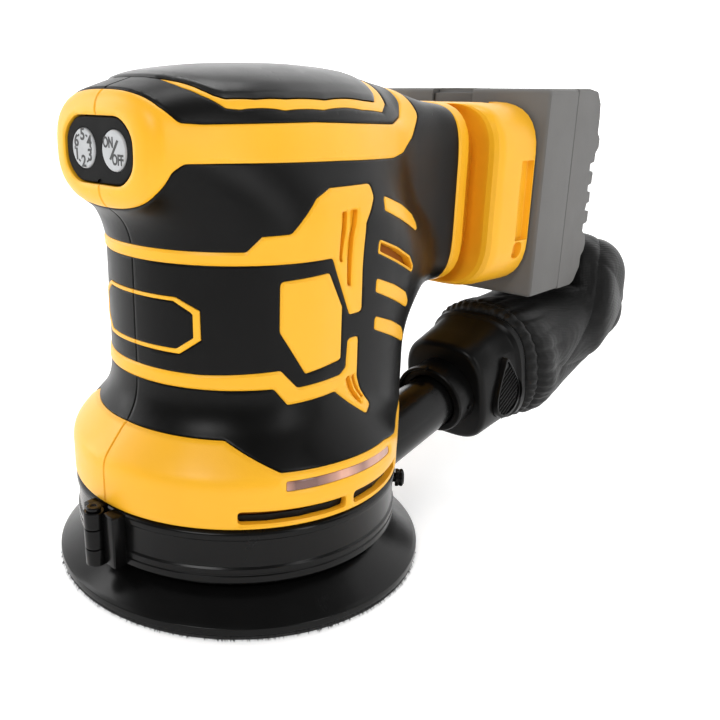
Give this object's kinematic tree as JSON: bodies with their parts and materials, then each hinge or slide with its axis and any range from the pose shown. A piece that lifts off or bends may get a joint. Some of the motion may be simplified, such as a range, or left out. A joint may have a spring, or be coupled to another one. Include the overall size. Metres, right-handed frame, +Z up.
{
  "type": "orbital sander",
  "caption": "Cordless palm-grip random-orbit sander with a round hook-and-loop pad, nose buttons, hinged dust collar, rear dust tube with cloth bag, and slide-on battery pack.",
  "frame": {"origin": "on the motor axis at the pad's working face", "axes": "+Z up along the motor axis, nose and buttons towards -Y, battery towards +Y, dust outlet at +X"},
  "size_m": [0.125, 0.2766, 0.1592],
  "materials": {
    "yellow_plastic": "moulded, satin",
    "black_plastic": "moulded, satin",
    "gloss_black": "moulded, glossy",
    "black_rubber": "soft overmould, matte",
    "hook_fabric": "hook-and-loop nap",
    "grey_plastic": "moulded, fine grain",
    "silver_plastic": "painted, satin",
    "smoked_lens": "translucent, polished",
    "steel": "turned and ground",
    "aluminium": "die cast",
    "copper": "enamelled windings",
    "circuit": "solder mask",
    "bag_fabric": "fine ripstop weave"
  },
  "bodies": {
    "main": {"housing_left": "black_plastic", "housing_right": "black_plastic", "housing_screw_1": "steel", "housing_screw_2": "steel", "housing_screw_3": "steel", "housing_screw_4": "steel", "palm_grip": "black_rubber", "nose_bezel": "yellow_plastic", "control_panel": "black_plastic", "speed_switch": "black_plastic", "power_switch": "black_plastic", "circuit_board": "circuit", "power_lead": "black_rubber", "terminal_block": "black_plastic", "battery_foot": "yellow_plastic", "motor_can": "steel", "stator": "copper", "lower_end_bell": "aluminium", "upper_end_bell": "aluminium", "lower_bearing": "steel", "upper_bearing": "steel", "baffle_plate": "black_plastic", "fan_shroud": "black_plastic", "brake_seal": "black_rubber", "base_skirt": "yellow_plastic", "window_left": "smoked_lens", "window_right": "smoked_lens", "collar_ring": "gloss_black", "hinge_pin": "steel", "outlet_tube": "gloss_black"},
    "rotor": {"motor_shaft": "steel", "rotor_core": "steel", "cooling_fan": "black_plastic", "dust_fan": "black_plastic", "eccentric_hub": "aluminium", "orbit_bearing": "steel"},
    "pad": {"backing_pad": "gloss_black", "hook_facing": "hook_fabric", "pad_spindle": "steel", "pad_screw_1": "steel", "pad_screw_2": "steel", "pad_screw_3": "steel"},
    "speed_button": {"speed_button": "silver_plastic"},
    "power_button": {"power_button": "silver_plastic"},
    "collar_gate": {"collar_gate": "gloss_black"},
    "latch_knob": {"latch_knob": "gloss_black"},
    "dust_collector": {"bag_connector": "black_plastic", "bag_hoop": "black_plastic", "dust_bag": "bag_fabric"},
    "clip_right": {"clip_right": "black_plastic"},
    "clip_left": {"clip_left": "black_plastic"},
    "battery_pack": {"pack_front": "grey_plastic", "pack_rear": "grey_plastic", "cell_1": "aluminium", "cell_2": "aluminium", "cell_3": "aluminium", "cell_4": "aluminium", "cell_5": "aluminium"},
    "pack_latch": {"pack_latch": "black_plastic"}
  },
  "joints": [
    {"name": "motor_spin", "type": "hinge", "parent": "main", "child": "rotor", "pos_m": [0, 0, 0.05], "axis": [0, 0, 1], "continuous": true},
    {"name": "pad_spin", "type": "hinge", "parent": "rotor", "child": "pad", "pos_m": [0, 0.00125, 0.018], "axis": [0, 0, 1], "continuous": true},
    {"name": "speed_press", "type": "slide", "parent": "main", "child": "speed_button", "axis": [0, 1, 0], "range_m": [0, 0.0008], "stiffness_N_per_m": 400},
    {"name": "power_press", "type": "slide", "parent": "main", "child": "power_button", "axis": [0, 1, 0], "range_m": [0, 0.0008], "stiffness_N_per_m": 400},
    {"name": "gate_hinge", "type": "hinge", "parent": "main", "child": "collar_gate", "pos_m": [0, -0.059, 0.023], "axis": [0, 0, -1], "range_deg": [0, 75]},
    {"name": "latch_turn", "type": "hinge", "parent": "collar_gate", "child": "latch_knob", "pos_m": [0.04265, 0.03393, 0.0262], "axis": [0.7826, 0.6225, 0], "range_deg": [0, 90]},
    {"name": "bag_pull", "type": "slide", "parent": "main", "child": "dust_collector", "axis": [0, 0.9763, 0.2164], "range_m": [0, 0.014]},
    {"name": "clip_right_press", "type": "slide", "parent": "dust_collector", "child": "clip_right", "axis": [-1, 0, 0], "range_m": [0, 0.0015], "stiffness_N_per_m": 500},
    {"name": "clip_left_press", "type": "slide", "parent": "dust_collector", "child": "clip_left", "axis": [1, 0, 0], "range_m": [0, 0.0015], "stiffness_N_per_m": 500},
    {"name": "pack_slide", "type": "slide", "parent": "main", "child": "battery_pack", "axis": [0, 0, 1], "range_m": [0, 0.065]},
    {"name": "latch_press", "type": "slide", "parent": "battery_pack", "child": "pack_latch", "axis": [0, 0, -1], "range_m": [0, 0.0025], "stiffness_N_per_m": 400}
  ]
}
